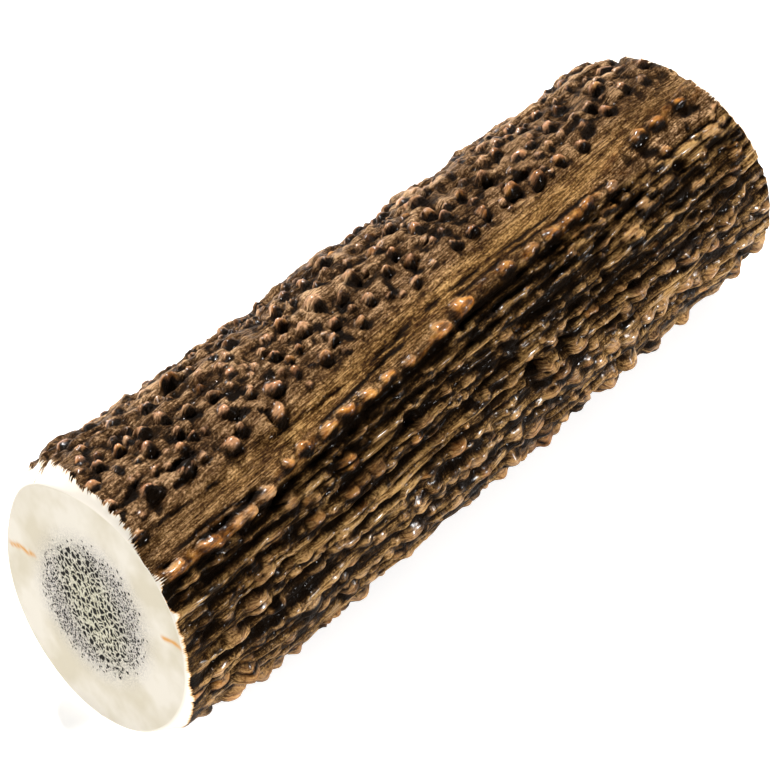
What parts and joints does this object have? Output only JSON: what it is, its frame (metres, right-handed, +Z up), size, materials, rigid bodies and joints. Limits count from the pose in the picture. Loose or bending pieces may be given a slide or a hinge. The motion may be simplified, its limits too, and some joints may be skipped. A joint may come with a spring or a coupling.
{
  "type": "sawn section of red deer antler",
  "caption": "Sawn section of red deer antler beam lying on its side, with pearled and ridged brown bark and a pale bevelled saw cut at both ends.",
  "frame": {"origin": "middle of the underside, on the surface that the piece rests on", "axes": "+X along the beam from the thicker sawn end to the thinner one, +Z up, -Y the pictured side"},
  "size_m": [0.1228, 0.0412, 0.0396],
  "materials": {
    "antler": "pearled brown bark with a waxy gloss, cream-white where it is sawn"
  },
  "bodies": {
    "root": {"antler_section": "antler"}
  },
  "joints": []
}
